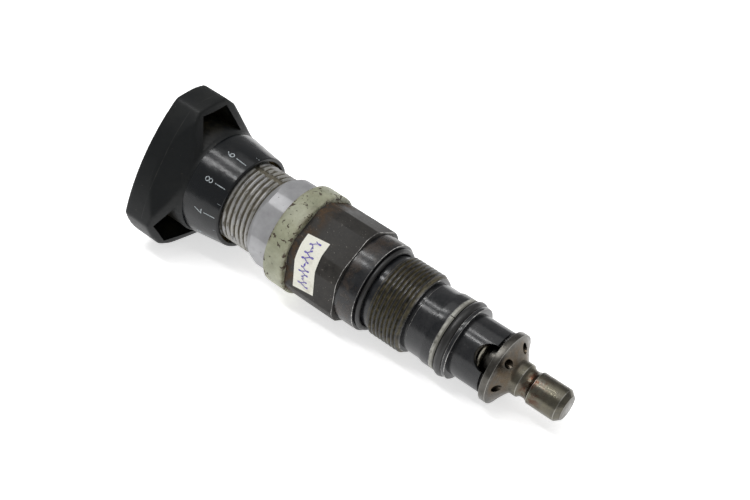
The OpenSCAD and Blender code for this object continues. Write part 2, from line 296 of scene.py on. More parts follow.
knob_thread = wind_thread(
    BUSH_BACK, -45.0, KNOB_CREST, KNOB_ROOT, KNOB_PITCH, crest_x=-46.4, crest_angle=130, lead=knob_lead,
)

# %% Press the slot
SLOT_TURN = 81.4
SLOT_HALF_WIDTH = 1.1
DIRT_R, LUMP_HEIGHT = 13.55, 0.45
slot_turn = Matrix.Rotation(math.radians(SLOT_TURN), 3, "X")
slot_out = slot_turn @ Vector((0, 1, 0))
slot_side = slot_turn @ Vector((0, 0, 1))
for offset in (-1.2, -1.02, -0.5, 0, 0.5, 1.02, 1.2):
    near = [f for f in knob_thread.faces if f.calc_center_median().dot(slot_out) > 12 * MM]
    reach = {v for f in near for v in f.verts}
    lines = {e for f in near for e in f.edges}
    bmesh.ops.bisect_plane(
        knob_thread, geom=list(reach) + list(lines) + near, dist=1e-7,
        plane_co=slot_side * offset * MM, plane_no=slot_side,
    )
dirt = knob_thread.verts.layers.float.new("slot_dirt")
for v in knob_thread.verts:
    side, out = v.co.dot(slot_side), v.co.dot(slot_out)
    if abs(side) < SLOT_HALF_WIDTH * MM and out > 0:
        lump = noise.noise(v.co * 900) * 0.35 + 0.3 * math.cos(2 * math.pi * v.co.x / (KNOB_PITCH * MM))
        v.co += slot_out * ((DIRT_R + LUMP_HEIGHT * lump) * MM - out)
        v[dirt] = 1.0
bush = join(bush, knob_thread)
guide_bush = make_piece("guide_bush_turned", bush, "valve", ["guide_bush"])

# %% [markdown]
# ## The lock ring
# The ring between bush and body is painted, so its edges are soft and its surface is a little uneven.

# %% Turn the ring
ring = turn_profile([(-34.95, 12), (-34.95, 18), (-27.05, 18), (-27.05, 12)], steps=160)
break_edges(ring, 0.55, segments=4)
bmesh.ops.subdivide_edges(
    ring, edges=[e for e in ring.edges if e.calc_length() > 5 * MM], cuts=8, use_grid_fill=True
)
for v in ring.verts:
    out = Vector((0, v.co.y, v.co.z)).normalized()
    v.co += out * noise.noise(v.co * 160) * 0.05 * MM
lock_ring = make_piece("lock_ring_painted", ring, "valve", ["lock_ring"], crease=50)

# %% [markdown]
# ## The poppet
# The poppet carries the disc, six small holes, the stem and the damping spool. It is turned as one
# solid, and its holes are drilled with six cylinders in one boolean.

# %% Turn and drill the poppet
HOLE_COUNT, HOLE_R, HOLE_CIRCLE_R = 6, 1.45, 8.6
poppet_profile = [
    (36.5, 0), (36.5, 4.4), (36.9, 4.8), (42.9, 4.8), (42.9, 6.9), (45.9, 6.9), (45.9, 12), (48.15, 12),
    (48.3, 11.1), (51.4, 6.4), (52.0, 5.75), (52.5, 5.55), (54.5, 5.55), (54.8, 5.3), (55.3, 4.85),
    (56, 4.62), (56.9, 4.62), (57.6, 4.85), (58.1, 5.2), (58.4, 5.45), (67.9, 5.45), (69.6, 4), (69.6, 0),
]
poppet = turn_profile(poppet_profile, steps=128, ring=False)
break_edges(poppet, 0.14, sharper_than=25)
drills = bmesh.new()
for n in range(HOLE_COUNT):
    beta = math.radians(120 + 360 / HOLE_COUNT * n)
    out = Vector((0, math.cos(beta), math.sin(beta))) * HOLE_CIRCLE_R
    spot = Matrix.Translation((Vector((49, 0, 0)) + out) * MM)
    bmesh.ops.create_cone(
        drills, cap_ends=True, segments=40, radius1=HOLE_R * MM, radius2=HOLE_R * MM, depth=9 * MM,
        matrix=spot @ Matrix.Rotation(math.radians(90), 4, "Y"),
    )
poppet = make_piece("poppet_turned", carve(poppet, drills), "poppet_slide", ["poppet"])

# %% [markdown]
# ## The main spring
# The wire is a circle that is spun with a step along the axis, three times over: one closed turn, eleven
# open ones, and one closed turn again. The spring is held between the plate and the poppet, and both can
# move, so it is cut in two at a plane that stays where it is. The half behind that plane rides on the valve
# body, and the half in front of it is given no body.

# %% Wind the spring
SPRING_LENGTH = 53.4 - 2.04
CLOSED_RISE = 2.06
OPEN_TURNS = 11
SPRING_STEPS = 48
open_rise = (SPRING_LENGTH - 2 * CLOSED_RISE) / OPEN_TURNS
spring = bmesh.new()
wire = bmesh.ops.create_circle(
    spring, cap_ends=False, segments=16, radius=1.0 * MM,
    matrix=Matrix.Rotation(math.radians(47.5), 4, "X") @ Matrix.Translation((-9.48 * MM, 6.1 * MM, 0)),
)["verts"]
end = wire + list({e for v in wire for e in v.link_edges})
for turns, rise in ((1, CLOSED_RISE), (OPEN_TURNS, open_rise), (1, CLOSED_RISE)):
    end = bmesh.ops.spin(
        spring, geom=end, cent=(0, 0, 0), axis=(1, 0, 0), angle=2 * math.pi * turns,
        steps=SPRING_STEPS * turns, dvec=(rise * MM / SPRING_STEPS, 0, 0),
    )["geom_last"]
bmesh.ops.remove_doubles(spring, verts=spring.verts[:], dist=1e-7)
bmesh.ops.holes_fill(spring, edges=spring.edges[:], sides=0)
bmesh.ops.recalc_face_normals(spring, faces=spring.faces[:])


# %% Cut the spring in two
SPRING_CUT = 30.0


def spring_half(side):
    half = spring.copy()
    cut = bmesh.ops.bisect_plane(
        half, geom=half.verts[:] + half.edges[:] + half.faces[:], dist=1e-7,
        plane_co=(SPRING_CUT * MM, 0, 0), plane_no=(side, 0, 0), clear_outer=True,
    )["geom_cut"]
    bmesh.ops.holes_fill(half, edges=[e for e in cut if isinstance(e, bmesh.types.BMEdge)], sides=0)
    bmesh.ops.recalc_face_normals(half, faces=half.faces[:])
    return half


spring_rear = make_piece("main_spring_rear", spring_half(1), "valve", ["main_spring"])
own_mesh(spring_rear)
spring_front = make_piece("main_spring_front", spring_half(-1), None, ["main_spring"])
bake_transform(spring_front)
spring.free()

# %% [markdown]
# ## The knob
# The knob is moulded plastic: a triangle with bowed sides and cut-off corners. Its outline is worked out
# direction by direction: how far the rim is from the axis is the least of the lobe radius and the three
# bowed sides. The bar is trimmed by a turned cone, sloped down towards the hub on each side, and joined
# to the hub. A voxel remesh and a few smoothing passes then soften every edge at once, as a mould does.

# %% Draw the knob's bar
KNOB_LOBE_TURN = 85.5
KNOB_SIDE, KNOB_BOW, KNOB_LOBE = 22.9, 68.0, 28.8
KNOB_BACK, KNOB_FRONT = -87.6, -70.3
HUB_R, HUB_FRONT_R = 19.2, 18.48
SLOPE_START, SLOPE_ANGLE = -80.7, 25.2


def knob_reach(beta):
    reach = KNOB_LOBE
    back = KNOB_BOW - KNOB_SIDE
    for side in range(3):
        along = back * math.cos(beta - math.radians(KNOB_LOBE_TURN + 60 + 120 * side))
        reach = min(reach, math.sqrt(along ** 2 - back ** 2 + KNOB_BOW ** 2) - along)
    return reach


def pull_along_axis(bm, rim, length):
    pulled = bmesh.ops.extrude_face_region(bm, geom=[bm.faces.new(rim)])["geom"]
    far_end = [v for v in pulled if isinstance(v, bmesh.types.BMVert)]
    bmesh.ops.translate(bm, verts=far_end, vec=(length * MM, 0, 0))
    bmesh.ops.recalc_face_normals(bm, faces=bm.faces[:])


def knob_bar(x0, x1, steps=360):
    bm = bmesh.new()
    rim = []
    for step in range(steps):
        beta = math.radians(KNOB_LOBE_TURN + 360 * step / steps)
        r = knob_reach(beta)
        rim.append(bm.verts.new((x0 * MM, r * math.cos(beta) * MM, r * math.sin(beta) * MM)))
    pull_along_axis(bm, rim, x1 - x0)
    return bm


# %% Shape the knob's front
def cube_at(matrix, size):
    block = bmesh.new()
    stretch = Matrix.Diagonal((*[edge * MM for edge in size], 1))
    bmesh.ops.create_cube(block, size=1.0, matrix=matrix @ stretch)
    return block


cone_profile = [(-90, 0), (-90, 40), (-76.8, 40), (-76.8, KNOB_LOBE), (-71.8, HUB_R), (-71.8, 0)]
cone = turn_profile(cone_profile, ring=False)
knob = carve(knob_bar(KNOB_BACK, KNOB_FRONT), cone, "INTERSECT")
for side in range(3):
    turn = Matrix.Rotation(math.radians(KNOB_LOBE_TURN + 60 + 120 * side), 4, "X")
    slope = Matrix.Rotation(math.radians(-SLOPE_ANGLE), 4, "Z")
    tilt = Matrix.Translation((SLOPE_START * MM, KNOB_SIDE * MM, 0)) @ slope
    knob = carve(knob, cube_at(turn @ tilt @ Matrix.Translation((15 * MM, 10 * MM, 0)), (30, 20, 80)))
hub_profile = [(-80, 0), (-80, HUB_R), (-72.4, 19.1), (KNOB_FRONT, HUB_FRONT_R), (-66, 18.3), (-66, 0)]
knob = carve(knob, turn_profile(hub_profile, ring=False), "UNION")

# %% Soften the knob
def soften(bm, voxel, passes):
    mesh = bpy.data.meshes.new("softening")
    bm.to_mesh(mesh)
    bm.free()
    shape = bpy.data.objects.new("softening", mesh)
    bpy.context.scene.collection.objects.link(shape)
    remesh = shape.modifiers.new("even skin", "REMESH")
    remesh.mode = "VOXEL"
    remesh.voxel_size = voxel * MM
    smooth = shape.modifiers.new("soften", "SMOOTH")
    smooth.factor = 0.5
    smooth.iterations = passes
    return read_back(shape)


knob = soften(knob, voxel=0.45, passes=11)

# %% [markdown]
# The inside and the pockets come after the softening, so their edges stay crisp. The front is cut off
# flat there too, which leaves it flush with the dial sleeve.

# %% Hollow the knob and cut the finger pockets
SLEEVE_BORE_R = 16.05
POCKET_FLOOR, POCKET_LENGTH = -84, 24
POCKET_INNER, POCKET_OUTER = 17.0, 26.5
POCKET_INNER_HALF, POCKET_OUTER_HALF = 9.07, 5.4
POCKET_CORE_R = 19.1
inside_profile = [
    (-90, 0), (-90, 6.5), (-82.3, 6.5), (-82.3, SLEEVE_BORE_R), (KNOB_FRONT, SLEEVE_BORE_R), (KNOB_FRONT, 40),
    (-60, 40), (-60, 0),
]
knob = carve(knob, turn_profile(inside_profile, ring=False))
corners = [
    (POCKET_INNER, POCKET_INNER_HALF), (POCKET_OUTER, POCKET_OUTER_HALF),
    (POCKET_OUTER, -POCKET_OUTER_HALF), (POCKET_INNER, -POCKET_INNER_HALF),
]
for lobe in range(3):
    turn = Matrix.Rotation(math.radians(KNOB_LOBE_TURN + 120 * lobe), 3, "X")
    wedge = bmesh.new()
    rim = [wedge.verts.new(turn @ Vector((POCKET_FLOOR * MM, y * MM, z * MM))) for y, z in corners]
    pull_along_axis(wedge, rim, POCKET_LENGTH)
    core = turn_profile([(-90, 0), (-90, POCKET_CORE_R), (-55, POCKET_CORE_R), (-55, 0)], ring=False)
    knob = carve(knob, carve(wedge, core))
in_pocket = knob.verts.layers.float.new("pocket_dirt")
for v in knob.verts:
    r = math.hypot(v.co.y, v.co.z) / MM
    cover = knob_reach(math.atan2(v.co.z, v.co.y)) - r
    near_floor = POCKET_FLOOR - 0.1 < v.co.x / MM < POCKET_FLOOR + 3
    between_walls = POCKET_CORE_R - 0.05 < r < POCKET_OUTER + 0.05 and cover > 1.5
    v[in_pocket] = 1.0 if near_floor and between_walls else 0.0
knob_head = make_piece("knob_head_moulded", knob, "knob", ["knob_head"], crease=50)

# %% [markdown]
# ## The dial sleeve and its marks
# The sleeve is a separate glossy ring on the knob. Its scale has ten divisions, each with a number and a
# line, and a shorter line at each half. The numbers are made from the font that comes with Blender, cut
# into small faces and wrapped onto the slightly tapered sleeve, a few hundredths of a millimetre proud.

# %% Turn the sleeve
TAPER_START, TAPER_END = -68.6, -56.4
TAPER_START_R, TAPER_END_R = 18.45, 16.74
sleeve_profile = [
    (-70.27, SLEEVE_BORE_R), (-70.27, TAPER_START_R), (TAPER_START, TAPER_START_R), (TAPER_END, TAPER_END_R),
    (-56.1, 16.4), (-56.1, 15.5), (-56.4, 15.3), (-61.95, 15.3), (-61.95, SLEEVE_BORE_R),
]
sleeve = turn_profile(sleeve_profile, steps=160)
break_edges(sleeve, 0.16, segments=3, sharper_than=25, inside=lambda p: p.x > -60 * MM)
dial_sleeve = make_piece("dial_sleeve_turned", sleeve, "knob", ["dial_sleeve"])


# %% Wrap a flat shape onto the sleeve
MARK_LIFT = 0.03


def sleeve_radius(x):
    return TAPER_START_R - (x - TAPER_START) * (TAPER_START_R - TAPER_END_R) / (TAPER_END - TAPER_START)


def wrap_on_sleeve(bm, beta):
    # The flat shape has its height along +Y, which is laid along +X on the sleeve.
    for v in bm.verts:
        x = v.co.y
        angle = math.radians(beta) + v.co.x / sleeve_radius(x)
        r = sleeve_radius(x) + MARK_LIFT
        v.co = Vector((x * MM, r * math.cos(angle) * MM, r * math.sin(angle) * MM))


def flat_number(text, height, width, middle):
    curve = bpy.data.curves.new("number", "FONT")
    curve.body = text
    curve.resolution_u = 4
    curve.offset = -0.012
    shape = bpy.data.objects.new("number", curve)
    bpy.context.scene.collection.objects.link(shape)
    bm = read_back(shape)
    low = Vector([min(v.co[i] for v in bm.verts) for i in range(3)])
    high = Vector([max(v.co[i] for v in bm.verts) for i in range(3)])
    for v in bm.verts:
        v.co.x = ((v.co.x - low.x) / (high.x - low.x) - 0.5) * width
        v.co.y = middle + ((v.co.y - low.y) / (high.y - low.y) - 0.5) * height
    return bm


def flat_bar(x0, x1, width):
    bm = bmesh.new()
    bmesh.ops.create_grid(
        bm, x_segments=1, y_segments=8, size=0.5,
        matrix=Matrix.Translation((0, (x0 + x1) / 2, 0)) @ Matrix.Diagonal((width, x1 - x0, 1, 1)),
    )
    return bm


def face_outwards(bm):
    for face in bm.faces:
        middle = face.calc_center_median()
        if face.normal.dot(Vector((0, middle.y, middle.z))) < 0:
            face.normal_flip()


# %% Mark the dial
NINE_TURN = 98
DIVISION = 360 / 10
marks = bmesh.new()
for number in range(10):
    beta = NINE_TURN + DIVISION * (9 - number)
    for shape, turn in (
        (flat_number(str(number), height=2.9, width=1.75, middle=-64.1), beta),
        (flat_bar(-61.7, -57.4, 0.28), beta),
        (flat_bar(-57.9, -56.5, 0.16), beta + DIVISION / 2),
    ):
        wrap_on_sleeve(shape, turn)
        join(marks, shape)
face_outwards(marks)
dial_marks = make_piece("dial_marks", marks, "knob")

# %% [markdown]
# ## The paper label
# A strip of paper is stuck round two corners of the hexagon, a little askew. It is a fine grid that is
# laid on the hexagon's outline and given a thickness. Someone has scribbled on it with a pen: the pen
# line is a narrow ribbon laid on the same outline.

# %% Lay a grid on the hexagon
LABEL_ROUND, LABEL_WIDTH = 19.5, 8.2


def hexagon_radius(beta):
    off = (beta - HEX_TURN + 30) % 60 - 30
    return min(HEX_CORNER, HEX_FLATS / 2 / math.cos(math.radians(off)))


def lay_on_hexagon(x, beta, lift):
    r = hexagon_radius(beta) + lift
    turn = math.radians(beta)
    return Vector((x * MM, r * math.cos(turn) * MM, r * math.sin(turn) * MM))


def label_point(u, v, lift):
    # u runs round the hexagon from 0 to 1, v runs along the axis from 0 to 1.
    x = -24.4 + 1.2 * u + LABEL_WIDTH * v
    beta = 124.5 - 3.2 * v + (67.8 - 0.6 * v) * u
    return lay_on_hexagon(x, beta, lift)


label = bmesh.new()
bmesh.ops.create_grid(label, x_segments=72, y_segments=12, size=0.5, matrix=Matrix.Translation((0.5, 0.5, 0)))
for v in label.verts:
    edge = min(v.co.y, 1 - v.co.y, v.co.x, 1 - v.co.x)
    lift = 0.05 + 0.1 * max(0.0, 1 - edge / 0.04) * (0.5 + 0.5 * noise.noise(v.co * 9))
    v.co = label_point(v.co.x, v.co.y, lift)
bmesh.ops.recalc_face_normals(label, faces=label.faces[:])
middle = max(label.faces, key=lambda f: f.calc_area())
if middle.normal.dot(Vector((0, middle.calc_center_median().y, middle.calc_center_median().z))) < 0:
    bmesh.ops.reverse_faces(label, faces=label.faces[:])
bmesh.ops.solidify(label, geom=label.faces[:], thickness=0.06 * MM)
bmesh.ops.recalc_face_normals(label, faces=label.faces[:])
paper_label = make_piece("paper_label_stuck", label, "valve", ["paper_label"])

# %% Scribble with a pen
INK_LIFT = 0.13


def pen_line(bm, points, width):
    fine = []
    for (u0, v0), (u1, v1) in zip(points, points[1:]):
        fine += [(u0 + (u1 - u0) * k / 8, v0 + (v1 - v0) * k / 8) for k in range(8)]
    fine.append(points[-1])
    rows = []
    for i, (u, v) in enumerate(fine):
        u0, v0 = fine[max(i - 1, 0)]
        u1, v1 = fine[min(i + 1, len(fine) - 1)]
        along = Vector(((u1 - u0) * LABEL_ROUND, (v1 - v0) * LABEL_WIDTH))
        across = Vector((-along.y, along.x)).normalized() * width / 2
        du, dv = across.x / LABEL_ROUND, across.y / LABEL_WIDTH
        rows.append([bm.verts.new(label_point(u + s * du, v + s * dv, INK_LIFT)) for s in (-1, 1)])
    for a, b in zip(rows, rows[1:]):
        bm.faces.new((a[0], a[1], b[1], b[0]))


pen = bmesh.new()
wave = [(0.06 + 0.86 * k / 90, 0.48 + 0.26 * math.sin(k * 0.62) * math.cos(k * 0.11)) for k in range(91)]
wave = [(u + 0.022 * math.sin(k * 1.24), v) for k, (u, v) in enumerate(wave)]
pen_line(pen, wave, 0.3)
face_outwards(pen)
pen_scribble = make_piece("label_pen_line", pen, "valve")

# %% [markdown]
# # Finishes
# Every finish is made from nodes, so it needs no image. They all read Object coordinates: since every
# piece sits at the origin, these are places in the valve itself, in metres, and a pattern stays put. The
# helpers below keep each finish short. A noise scale of 1000 gives spots of about a millimetre.

# %% Helpers for finishes
def new_finish(name, **shader_values):
    finish = bpy.data.materials.new(name)
    finish.use_nodes = True
    tree = finish.node_tree
    shader = tree.nodes["Principled BSDF"]
    for socket, value in shader_values.items():
        shader.inputs[socket.replace("_", " ")].default_value = value
    return finish, tree, shader


def add(tree, kind, inputs=None, **settings):
    made = tree.nodes.new(kind)
    for name, value in settings.items():
        setattr(made, name, value)
    for name, value in (inputs or {}).items():
        if isinstance(value, bpy.types.NodeSocket):
            tree.links.new(value, made.inputs[name])
        else:
            made.inputs[name].default_value = value
    return made


def place(tree, stretch=(1, 1, 1)):
    spot = add(tree, "ShaderNodeTexCoord").outputs["Object"]
    if stretch == (1, 1, 1):
        return spot
    return add(tree, "ShaderNodeMapping", {"Vector": spot, "Scale": stretch}).outputs["Vector"]


def grain(tree, scale, detail=4.0, rough=0.6, stretch=(1, 1, 1), shift=0.0):
    inputs = {"Vector": place(tree, stretch), "Scale": scale, "Detail": detail, "Roughness": rough}
    inputs["Distortion"] = shift
    return add(tree, "ShaderNodeTexNoise", inputs).outputs["Fac"]


def spread(tree, value, low, high, to_low=0.0, to_high=1.0):
    inputs = {"Value": value, "From Min": low, "From Max": high, "To Min": to_low, "To Max": to_high}
    return add(tree, "ShaderNodeMapRange", inputs).outputs["Result"]


def calc(tree, operation, a, b=0.0, clamp=False):
    return add(tree, "ShaderNodeMath", {0: a, 1: b}, operation=operation, use_clamp=clamp).outputs[0]


def layer(tree, amount, under, over):
    made = add(tree, "ShaderNodeMix", data_type="RGBA")
    # Inputs 0, 6 and 7 are the amount and the two colours, and output 2 is the mixed colour.
    for index, value in ((0, amount), (6, under), (7, over)):
        if isinstance(value, bpy.types.NodeSocket):
            tree.links.new(value, made.inputs[index])
        else:
            made.inputs[index].default_value = (*value, 1)
    return made.outputs[2]


def relief(tree, height, distance, under=None):
    inputs = {"Height": height, "Distance": distance, "Strength": 1.0}
    if under is not None:
        inputs["Normal"] = under
    return add(tree, "ShaderNodeBump", inputs).outputs["Normal"]


def marked(tree, name):
    return add(tree, "ShaderNodeAttribute", attribute_name=name).outputs["Fac"]


def along_axis(tree, axis="X"):
    return add(tree, "ShaderNodeSeparateXYZ", {"Vector": place(tree)}).outputs[axis]


def from_axis(tree):
    flat = add(tree, "ShaderNodeVectorMath", {0: place(tree), 1: (0, 1, 1)}, operation="MULTIPLY").outputs[0]
    return add(tree, "ShaderNodeVectorMath", {0: flat}, operation="LENGTH").outputs["Value"]


def connect(tree, shader, **sockets):
    for name, value in sockets.items():
        tree.links.new(value, shader.inputs[name.replace("_", " ")])


def wear_on(piece, finish):
    piece.data.materials.clear()
    piece.data.materials.append(finish)


# %% [markdown]
# The knob is satin black plastic with a fine moulded grain. It has a thin film of dust in places, a few
# pale specks, soil at its back edge, and one pale scratch that runs round it. The vertices that carry the
# pocket_dirt mark, at the bottom of the finger pockets, are caked with dirt.

# %% Knob plastic
knob_plastic, tree, shader = new_finish("satin black plastic", Specular_IOR_Level=0.24)
film = spread(tree, grain(tree, 70, 5, 0.65), 0.5, 0.78, 0, 0.55)
colour = layer(tree, film, (0.0045, 0.0055, 0.0060), (0.015, 0.0155, 0.0135))
specks = spread(tree, grain(tree, 1500, 2, 0.5), 0.755, 0.8)
colour = layer(tree, calc(tree, "MULTIPLY", specks, 0.5), colour, (0.2, 0.18, 0.13))
at_back = spread(tree, along_axis(tree), -0.0835, -0.0868)
soil = calc(tree, "MULTIPLY", at_back, spread(tree, grain(tree, 260, 6, 0.75), 0.66, 0.78, 0, 0.45))
caked = spread(tree, grain(tree, 260, 5), 0.4, 0.6, 0.1, 0.7)
inner = calc(tree, "MULTIPLY", marked(tree, "pocket_dirt"), caked)
colour = layer(tree, calc(tree, "MAXIMUM", soil, inner), colour, (0.06, 0.05, 0.028))
SCRATCH_X = -0.0800
off_line = calc(tree, "ABSOLUTE", calc(tree, "SUBTRACT", along_axis(tree), SCRATCH_X))
on_line = spread(tree, off_line, 0.00014, 0.00005)
scratch = calc(tree, "MULTIPLY", on_line, spread(tree, grain(tree, 150, 4), 0.42, 0.6))
colour = layer(tree, calc(tree, "MULTIPLY", scratch, 0.6), colour, (0.05, 0.05, 0.047))
scuffs = spread(tree, grain(tree, 260, 6, 0.7, stretch=(1, 1, 6)), 0.35, 0.75, 0.36, 0.56)
skin = relief(tree, grain(tree, 3200, 2, 0.5), 0.00003)
bumps = relief(tree, grain(tree, 45, 3), 0.0002, skin)
connect(tree, shader, Base_Color=colour, Roughness=scuffs, Normal=bumps)

# %% [markdown]
# The dial sleeve is glossier. Handling has left short scratches round it, and there is brown grime near
# its rim. The marks are white paint, and noise wears holes in them that show the sleeve's own black.

# %% Dial plastic and dial paint
dial_plastic, tree, shader = new_finish("glossy black plastic", Specular_IOR_Level=0.36)
rim = spread(tree, along_axis(tree), -0.0590, -0.0562)
grimy = spread(tree, grain(tree, 420, 6, 0.7), 0.52, 0.68)
dirt = calc(tree, "MULTIPLY", grimy, calc(tree, "MAXIMUM", rim, 0.25))
colour = layer(tree, calc(tree, "MULTIPLY", dirt, 0.4), (0.0045, 0.0056, 0.0070), (0.03, 0.025, 0.018))
smears = grain(tree, 170, 5, 0.7, shift=0.8)
scratches = grain(tree, 700, 4, 0.7, stretch=(1, 2, 1))
handled = calc(tree, "ADD", smears, calc(tree, "MULTIPLY", scratches, 0.12))
shine = spread(tree, handled, 0.42, 0.75, 0.15, 0.27)
bumps = relief(tree, grain(tree, 90, 3), 0.00022, relief(tree, scratches, 0.000006))
connect(tree, shader, Base_Color=colour, Roughness=shine, Normal=bumps)

dial_paint, tree, shader = new_finish("worn white dial paint", Specular_IOR_Level=0.4)
far_side = spread(tree, along_axis(tree, "Y"), 0.003, 0.008, 0, 0.4)
by_rim = spread(tree, along_axis(tree), -0.0585, -0.0572, 0, 0.13)
patches = spread(tree, grain(tree, 130, 3), 0.5, 0.75, 0, 0.16)
rubbed = calc(tree, "ADD", calc(tree, "ADD", far_side, by_rim), patches)
worn = spread(tree, calc(tree, "ADD", grain(tree, 1300, 5, 0.7), rubbed), 0.54, 0.66)
colour = layer(tree, worn, (0.4, 0.44, 0.46), (0.02, 0.023, 0.027))
connect(tree, shader, Base_Color=colour, Roughness=spread(tree, worn, 0, 1, 0.55, 0.35))

# %% [markdown]
# The bush is bare light metal with a fine blasted grain. Dark oily dirt sits in the thread's roots, so the
# distance from the axis decides how much dirt there is, and streaked noise carries some of it over the
# crests. The vertices that carry the slot_dirt mark are nearly all dirt.

# %% Bush metal
bush_metal, tree, shader = new_finish("satin light metal")
out = from_axis(tree)
on_thread = spread(tree, along_axis(tree), -0.0446, -0.0453)
depth = spread(tree, out, 0.01436, 0.0137)
mottle = grain(tree, 620, 6, 0.72)
streaks = grain(tree, 230, 5, 0.7, stretch=(4.5, 1, 1), shift=0.4)
root_dirt = spread(tree, calc(tree, "ADD", calc(tree, "MULTIPLY", depth, 0.5), streaks), 0.78, 0.94)
crest_dirt = spread(tree, calc(tree, "ADD", streaks, calc(tree, "MULTIPLY", mottle, 0.4)), 0.76, 0.84, 0, 0.8)
thread_dirt = calc(tree, "MULTIPLY", on_thread, calc(tree, "MAXIMUM", root_dirt, crest_dirt))
slot = calc(tree, "MULTIPLY", marked(tree, "slot_dirt"), spread(tree, mottle, 0.34, 0.56, 0.35, 1))
clouds = spread(tree, grain(tree, 240, 5, 0.65), 0.35, 0.7)
metal = layer(tree, clouds, (0.42, 0.42, 0.43), (0.33, 0.33, 0.34))
pits = spread(tree, grain(tree, 900, 2, 0.5), 0.73, 0.76)
metal = layer(tree, pits, metal, (0.1, 0.09, 0.08))
film = calc(tree, "MULTIPLY", on_thread, spread(tree, grain(tree, 150, 5), 0.4, 0.65, 0.15, 0.7))
metal = layer(tree, film, metal, (0.34, 0.325, 0.27))
grime = layer(tree, grain(tree, 800, 5, 0.7), (0.035, 0.03, 0.022), (0.17, 0.15, 0.1))
dirty = calc(tree, "MAXIMUM", calc(tree, "MULTIPLY", thread_dirt, 0.92), slot)
colour = layer(tree, dirty, metal, grime)
blasted = grain(tree, 2600, 3, 0.6)
shine = spread(tree, calc(tree, "ADD", dirty, calc(tree, "MULTIPLY", mottle, 0.3)), 0, 1.3, 0.52, 0.85)
bumps = relief(tree, blasted, 0.00002, relief(tree, calc(tree, "MULTIPLY", mottle, dirty), 0.00025))
bare_metal = spread(tree, dirty, 0, 1, 0.62, 0)
connect(tree, shader, Base_Color=colour, Roughness=shine, Metallic=bare_metal, Normal=bumps)

# %% [markdown]
# The lock ring's paint is sage green and has chipped, mostly at its edges. A chip is where coarse noise
# passes a threshold that is lower near the worn corners. Finer noise adds small specks. The paint's edge
# stands up round each chip.

# %% Ring paint
ring_paint, tree, shader = new_finish("chipped sage paint", Specular_IOR_Level=0.5)
near_front = spread(tree, along_axis(tree), -0.0288, -0.0270)
near_back = spread(tree, along_axis(tree), -0.0336, -0.0350)
edge = calc(tree, "MAXIMUM", near_front, near_back)
chip_noise = calc(tree, "ADD", grain(tree, 420, 5, 0.6, shift=0.6), calc(tree, "MULTIPLY", edge, 0.075))
specks = spread(tree, grain(tree, 1000, 4, 0.65), 0.645, 0.67)
chips = calc(tree, "MAXIMUM", spread(tree, chip_noise, 0.615, 0.635), specks)
clouds = spread(tree, grain(tree, 150, 6, 0.7), 0.35, 0.65)
tone = layer(tree, clouds, (0.225, 0.235, 0.155), (0.35, 0.355, 0.25))
stain = spread(tree, grain(tree, 170, 6, 0.7), 0.53, 0.75, 0, 0.5)
tone = layer(tree, stain, tone, (0.2, 0.18, 0.11))
soiled_edge = calc(tree, "MULTIPLY", edge, spread(tree, grain(tree, 330, 5, 0.7), 0.42, 0.62, 0, 0.7))
tone = layer(tree, soiled_edge, tone, (0.12, 0.1, 0.06))
bare = layer(tree, grain(tree, 800, 4), (0.02, 0.014, 0.009), (0.09, 0.06, 0.035))
bumps = relief(tree, calc(tree, "SUBTRACT", 1.0, chips), 0.00008, relief(tree, grain(tree, 300, 4), 0.0001))
connect(
    tree, shader, Base_Color=layer(tree, chips, tone, bare), Roughness=spread(tree, chips, 0, 1, 0.42, 0.75),
    Normal=bumps,
)

# %% [markdown]
# The steel body has a dark oxide. On the hexagon it is brown-grey and matt, with rust beside the ring. In
# front of the hexagon it is blue-black and glossy. The thread holds olive dirt in its roots. Corners that
# carry the wear mark are rubbed bright.

# %% Dark steel
dark_steel, tree, shader = new_finish("oxide black steel", Specular_IOR_Level=0.75)
x = along_axis(tree)
out = from_axis(tree)
mottle = grain(tree, 330, 7, 0.72)
on_hexagon = spread(tree, x, -0.00708, -0.00722)
hexagon = layer(tree, spread(tree, mottle, 0.3, 0.72), (0.015, 0.0138, 0.0125), (0.041, 0.0375, 0.0335))
flecks = spread(tree, grain(tree, 2100, 2, 0.5), 0.68, 0.76)
hexagon = layer(tree, calc(tree, "MULTIPLY", flecks, 0.6), hexagon, (0.3, 0.28, 0.25))
smooth = layer(tree, spread(tree, mottle, 0.35, 0.75), (0.006, 0.007, 0.009), (0.024, 0.024, 0.025))
colour = layer(tree, on_hexagon, smooth, hexagon)
by_ring = spread(tree, x, -0.0205, -0.0268)
on_shoulder = calc(tree, "MULTIPLY", spread(tree, x, 0.0005, -0.002), spread(tree, x, -0.0075, -0.006))
rust_area = calc(tree, "MAXIMUM", by_ring, calc(tree, "MULTIPLY", on_shoulder, 0.3))
rust = calc(tree, "MULTIPLY", rust_area, spread(tree, grain(tree, 210, 6, 0.7), 0.44, 0.58), True)
rust_colour = layer(tree, grain(tree, 900, 5), (0.035, 0.02, 0.01), (0.15, 0.08, 0.03))
colour = layer(tree, calc(tree, "MULTIPLY", rust, 0.75), colour, rust_colour)
on_thread = calc(tree, "MULTIPLY", spread(tree, x, 0.0038, 0.0044), spread(tree, x, 0.0169, 0.0163))
depth = spread(tree, out, 0.0139, 0.0133)
root = spread(tree, calc(tree, "ADD", depth, grain(tree, 420, 5, 0.7)), 0.55, 0.95)
thread_dirt = calc(tree, "MULTIPLY", on_thread, calc(tree, "MULTIPLY", root, 0.9))
clods = spread(tree, grain(tree, 700, 5, 0.7), 0.35, 0.65)
olive = layer(tree, clods, (0.012, 0.0105, 0.006), (0.12, 0.1, 0.05))
colour = layer(tree, thread_dirt, colour, olive)
rubbed = spread(tree, grain(tree, 380, 5, 0.7), 0.4, 0.56, 0.15, 1)
worn = calc(tree, "MULTIPLY", marked(tree, "wear"), rubbed)
